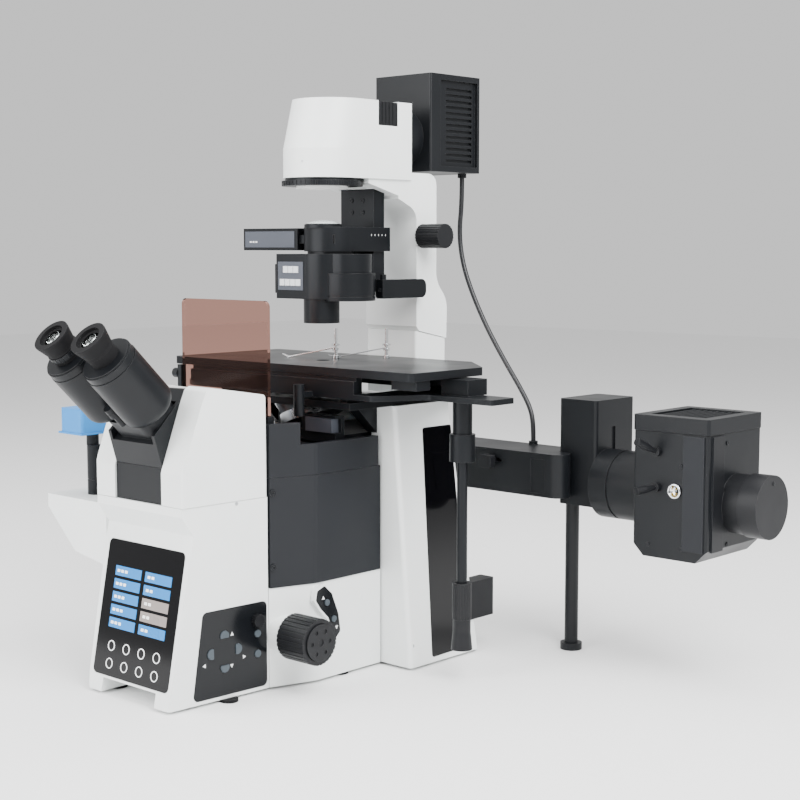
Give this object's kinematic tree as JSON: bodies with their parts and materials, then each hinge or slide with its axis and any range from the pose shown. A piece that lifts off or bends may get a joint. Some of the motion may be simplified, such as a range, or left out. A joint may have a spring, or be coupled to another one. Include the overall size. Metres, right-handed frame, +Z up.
{
  "type": "inverted microscope",
  "caption": "Inverted research microscope: eyepieces and touch panel in front, moving stage over a turning nosepiece, tilting transmitted-light column and a side lamp house.",
  "frame": {"origin": "centre of the bounding box in plan, without the cable, at the level of the table", "axes": "+Z up, +X to the user's right, +Y away from the user, who sits on the -Y side"},
  "size_m": [0.66, 0.6282, 0.686],
  "materials": {
    "white_paint": "satin light grey-white paint",
    "white_cover": "moulded cover, light grey-white",
    "dark_cover": "dark grey moulded cover",
    "dark_paint": "dark semi-gloss paint",
    "black_metal": "black anodised",
    "black_plastic": "black",
    "rubber": "black",
    "steel": "bright",
    "chrome": "polished",
    "silver": "satin silver",
    "screen": "lit blue panel under clear plastic",
    "black_gloss": "glossy black",
    "grey_plastic": "mid grey",
    "amber": "clear amber sheet",
    "blue_paint": "blue"
  },
  "bodies": {
    "base": {"console_shell": "white_cover", "mid_body_shell": "white_cover", "tower_shell": "white_paint", "body_frame": "dark_paint", "side_covers": "dark_cover", "upper_shell": "white_cover", "tube_bracket": "black_metal", "screen_panel": "screen", "control_panel": "black_gloss", "button_pod": "black_plastic", "rubber_feet": "rubber", "stage_bed": "black_metal", "shield_holder": "black_plastic", "epi_arm": "dark_paint", "epi_coupler": "black_metal", "lamp_house": "dark_paint", "support_leg": "dark_paint", "side_shelf": "white_paint", "side_camera": "blue_paint", "rear_box": "black_plastic", "lamp_cable": "rubber"},
    "light_dial": {"light_dial": "black_plastic"},
    "upper_round_button": {"upper_round_button": "grey_plastic"},
    "lower_round_button": {"lower_round_button": "grey_plastic"},
    "up_button": {"up_button": "grey_plastic"},
    "down_button": {"down_button": "grey_plastic"},
    "left_button": {"left_button": "grey_plastic"},
    "right_button": {"right_button": "grey_plastic"},
    "upper_pod_button": {"upper_pod_button": "grey_plastic"},
    "lower_pod_button": {"lower_pod_button": "grey_plastic"},
    "left_eye": {"left_barrel": "black_metal", "left_eyepiece": "black_metal"},
    "right_eye": {"right_barrel": "black_metal", "right_eyepiece": "black_metal"},
    "diopter_ring": {"diopter_ring": "black_metal"},
    "coarse_knobs": {"coarse_knobs": "black_plastic"},
    "fine_knobs": {"fine_knobs": "black_plastic"},
    "nosepiece_carrier": {"nosepiece_carrier": "black_metal"},
    "nosepiece": {"nosepiece": "steel"},
    "nosepiece_slider": {"nosepiece_slider": "silver"},
    "y_carriage": {"y_carriage": "black_metal"},
    "x_plate": {"x_plate": "black_metal", "stage_insert": "black_metal"},
    "y_knob": {"y_knob": "black_plastic"},
    "x_knob": {"x_knob": "black_plastic"},
    "front_clip": {"front_clip": "steel"},
    "rear_clip": {"rear_clip": "steel"},
    "column": {"illumination_column": "white_paint", "top_lamp_house": "dark_paint"},
    "field_ring": {"field_ring": "black_metal"},
    "filter_cassette": {"filter_cassette": "black_plastic"},
    "condenser": {"condenser_carrier": "black_metal", "condenser_body": "black_metal"},
    "condenser_turret": {"condenser_turret": "black_metal"},
    "condenser_slider": {"condenser_slider": "black_metal"},
    "condenser_knob": {"condenser_knob": "black_plastic"},
    "light_shield": {"light_shield": "amber"},
    "arm_lever": {"arm_lever": "black_plastic"},
    "upper_lamp_lever": {"upper_lamp_lever": "black_plastic"},
    "lower_lamp_lever": {"lower_lamp_lever": "black_plastic"}
  },
  "joints": [
    {"name": "up_button_press", "type": "slide", "parent": "base", "child": "up_button", "axis": [-0.9979, 0.0645, 0], "range_m": [0, 0.0008], "stiffness_N_per_m": 250, "springref_m": -0.001},
    {"name": "down_button_press", "type": "slide", "parent": "base", "child": "down_button", "axis": [-0.9979, 0.0645, 0], "range_m": [0, 0.0008], "stiffness_N_per_m": 250, "springref_m": -0.001},
    {"name": "left_button_press", "type": "slide", "parent": "base", "child": "left_button", "axis": [-0.9979, 0.0645, 0], "range_m": [0, 0.0008], "stiffness_N_per_m": 250, "springref_m": -0.001},
    {"name": "right_button_press", "type": "slide", "parent": "base", "child": "right_button", "axis": [-0.9979, 0.0645, 0], "range_m": [0, 0.0008], "stiffness_N_per_m": 250, "springref_m": -0.001},
    {"name": "upper_round_button_press", "type": "slide", "parent": "base", "child": "upper_round_button", "axis": [-0.9979, 0.0645, 0], "range_m": [0, 0.0008], "stiffness_N_per_m": 250, "springref_m": -0.001},
    {"name": "lower_round_button_press", "type": "slide", "parent": "base", "child": "lower_round_button", "axis": [-0.9979, 0.0645, 0], "range_m": [0, 0.0008], "stiffness_N_per_m": 250, "springref_m": -0.001},
    {"name": "upper_pod_button_press", "type": "slide", "parent": "base", "child": "upper_pod_button", "axis": [-1, 0, 0], "range_m": [0, 0.0008], "stiffness_N_per_m": 250, "springref_m": -0.001},
    {"name": "lower_pod_button_press", "type": "slide", "parent": "base", "child": "lower_pod_button", "axis": [-1, 0, 0], "range_m": [0, 0.0008], "stiffness_N_per_m": 250, "springref_m": -0.001},
    {"name": "light_dial_turn", "type": "hinge", "parent": "base", "child": "light_dial", "pos_m": [-0.0681, -0.12193, 0.081], "axis": [0.9979, -0.0645, 0], "range_deg": [-140, 140]},
    {"name": "right_eye_swing", "type": "hinge", "parent": "base", "child": "right_eye", "pos_m": [-0.145, -0.31407, 0.37526], "axis": [0, 0.7071, -0.7071], "range_deg": [-3, 20]},
    {"name": "left_eye_swing", "type": "hinge", "parent": "base", "child": "left_eye", "pos_m": [-0.145, -0.31407, 0.37526], "axis": [0, 0.7071, -0.7071], "range_deg": [-20, 3]},
    {"name": "diopter_turn", "type": "hinge", "parent": "left_eye", "child": "diopter_ring", "pos_m": [-0.176, -0.29993, 0.3894], "axis": [0, 0.7071, -0.7071], "range_deg": [-90, 90]},
    {"name": "nosepiece_focus", "type": "slide", "parent": "base", "child": "nosepiece_carrier", "axis": [0, 0, 1], "range_m": [-0.002, 0.007]},
    {"name": "coarse_turn", "type": "hinge", "parent": "base", "child": "coarse_knobs", "pos_m": [-0.145, -0.08693, 0.06], "axis": [1, 0, 0], "range_deg": [-146, 506]},
    {"name": "fine_turn", "type": "hinge", "parent": "base", "child": "fine_knobs", "pos_m": [-0.145, -0.08693, 0.06], "axis": [1, 0, 0], "continuous": true},
    {"name": "nosepiece_turn", "type": "hinge", "parent": "nosepiece_carrier", "child": "nosepiece", "pos_m": [-0.145, 0.05607, 0.226], "axis": [-0.342, 0, 0.9397], "continuous": true},
    {"name": "nosepiece_slider_slide", "type": "slide", "parent": "nosepiece_carrier", "child": "nosepiece_slider", "axis": [1, 0, 0], "range_m": [0, 0.03]},
    {"name": "stage_y", "type": "slide", "parent": "base", "child": "y_carriage", "axis": [0, 1, 0], "range_m": [-0.046, 0.015]},
    {"name": "stage_x", "type": "slide", "parent": "y_carriage", "child": "x_plate", "axis": [1, 0, 0], "range_m": [-0.055, 0.055]},
    {"name": "y_knob_turn", "type": "hinge", "parent": "y_carriage", "child": "y_knob", "pos_m": [0.06, 0.06707, 0.09], "axis": [0, 0, 1], "range_deg": [-264, 87]},
    {"name": "x_knob_turn", "type": "hinge", "parent": "y_carriage", "child": "x_knob", "pos_m": [0.06, 0.06707, 0.05], "axis": [0, 0, 1], "range_deg": [-316, 316]},
    {"name": "front_clip_turn", "type": "hinge", "parent": "x_plate", "child": "front_clip", "pos_m": [-0.15, 0.08207, 0.35], "axis": [0, 0, 1], "range_deg": [0, 45]},
    {"name": "rear_clip_turn", "type": "hinge", "parent": "x_plate", "child": "rear_clip", "pos_m": [-0.105, 0.12207, 0.35], "axis": [0, 0, 1], "range_deg": [-45, 0]},
    {"name": "column_tilt", "type": "hinge", "parent": "base", "child": "column", "pos_m": [-0.145, 0.22847, 0.3662], "axis": [-1, 0, 0], "range_deg": [0, 30], "deforming": ["lamp_cable"]},
    {"name": "field_turn", "type": "hinge", "parent": "column", "child": "field_ring", "pos_m": [-0.145, 0.05607, 0.552], "axis": [0, 0, 1], "range_deg": [-60, 60]},
    {"name": "cassette_slide", "type": "slide", "parent": "column", "child": "filter_cassette", "axis": [1, 0, 0], "range_m": [0, 0.035]},
    {"name": "condenser_focus", "type": "slide", "parent": "column", "child": "condenser", "axis": [0, 0, 1], "range_m": [-0.02, 0.01]},
    {"name": "condenser_knob_turn", "type": "hinge", "parent": "column", "child": "condenser_knob", "pos_m": [-0.085, 0.18007, 0.491], "axis": [1, 0, 0], "range_deg": [-191, 96]},
    {"name": "condenser_turret_turn", "type": "hinge", "parent": "condenser", "child": "condenser_turret", "pos_m": [-0.12, 0.07307, 0.43], "axis": [0, 0, 1], "continuous": true},
    {"name": "condenser_slider_slide", "type": "slide", "parent": "condenser", "child": "condenser_slider", "axis": [-1, 0, 0], "range_m": [0, 0.05]},
    {"name": "shield_lift", "type": "slide", "parent": "base", "child": "light_shield", "axis": [0, 0, 1], "range_m": [0, 0.13]},
    {"name": "arm_lever_slide", "type": "slide", "parent": "base", "child": "arm_lever", "axis": [1, 0, 0], "range_m": [-0.009, 0.009]},
    {"name": "upper_lamp_lever_turn", "type": "hinge", "parent": "base", "child": "upper_lamp_lever", "pos_m": [0.223, 0.20307, 0.257], "axis": [0, 1, 0], "range_deg": [-25, 25]},
    {"name": "lower_lamp_lever_turn", "type": "hinge", "parent": "base", "child": "lower_lamp_lever", "pos_m": [0.223, 0.20307, 0.218], "axis": [0, 1, 0], "range_deg": [-25, 25]}
  ],
  "couplings": [
    {"joint": "left_eye_swing", "follows": "right_eye_swing", "ratio": -1},
    {"joint": "coarse_turn", "follows": "nosepiece_focus", "rad_per_m": 1256.6},
    {"joint": "y_knob_turn", "follows": "stage_y", "rad_per_m": 100},
    {"joint": "x_knob_turn", "follows": "stage_x", "rad_per_m": 100},
    {"joint": "condenser_knob_turn", "follows": "condenser_focus", "rad_per_m": 166}
  ]
}
